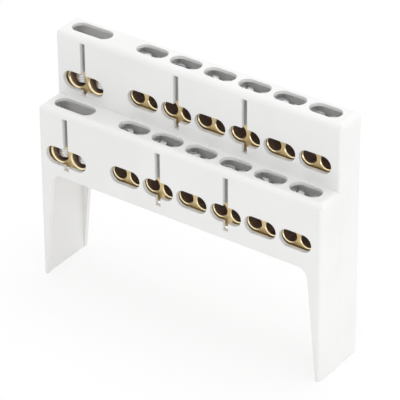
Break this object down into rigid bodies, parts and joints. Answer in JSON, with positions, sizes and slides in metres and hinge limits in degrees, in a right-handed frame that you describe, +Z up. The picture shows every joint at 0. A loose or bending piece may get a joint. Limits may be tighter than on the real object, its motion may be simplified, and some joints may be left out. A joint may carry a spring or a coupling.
{
  "type": "earth terminal bar",
  "caption": "Two-tier earth terminal bar: a white moulded bridge on two channel legs holds two drilled brass bars, with a screw over every wire hole and driver slots above.",
  "frame": {"origin": "centre of the footprint, on the plane that the two feet stand on", "axes": "+X along the bars towards the end away from the main terminals, -Y towards the wire entry side, +Z up"},
  "size_m": [0.1184, 0.0234, 0.0948],
  "materials": {
    "housing_plastic": "smooth white moulding, softly glossy",
    "bar_brass": "drawn and drilled, unplated",
    "screw_steel": "bright zinc plate"
  },
  "bodies": {
    "root": {"housing": "housing_plastic", "lower_bar": "bar_brass", "upper_bar": "bar_brass", "lower_main_screw_1": "screw_steel", "lower_main_screw_2": "screw_steel", "upper_main_screw_1": "screw_steel", "upper_main_screw_2": "screw_steel", "lower_clamp_screw_1": "screw_steel", "lower_clamp_screw_2": "screw_steel", "lower_clamp_screw_3": "screw_steel", "lower_clamp_screw_4": "screw_steel", "lower_clamp_screw_5": "screw_steel", "lower_clamp_screw_6": "screw_steel", "lower_clamp_screw_7": "screw_steel", "lower_clamp_screw_8": "screw_steel", "lower_clamp_screw_9": "screw_steel", "lower_clamp_screw_10": "screw_steel", "lower_clamp_screw_11": "screw_steel", "lower_clamp_screw_12": "screw_steel", "upper_clamp_screw_1": "screw_steel", "upper_clamp_screw_2": "screw_steel", "upper_clamp_screw_3": "screw_steel", "upper_clamp_screw_4": "screw_steel", "upper_clamp_screw_5": "screw_steel", "upper_clamp_screw_6": "screw_steel", "upper_clamp_screw_7": "screw_steel", "upper_clamp_screw_8": "screw_steel", "upper_clamp_screw_9": "screw_steel", "upper_clamp_screw_10": "screw_steel", "upper_clamp_screw_11": "screw_steel", "upper_clamp_screw_12": "screw_steel"}
  },
  "joints": []
}
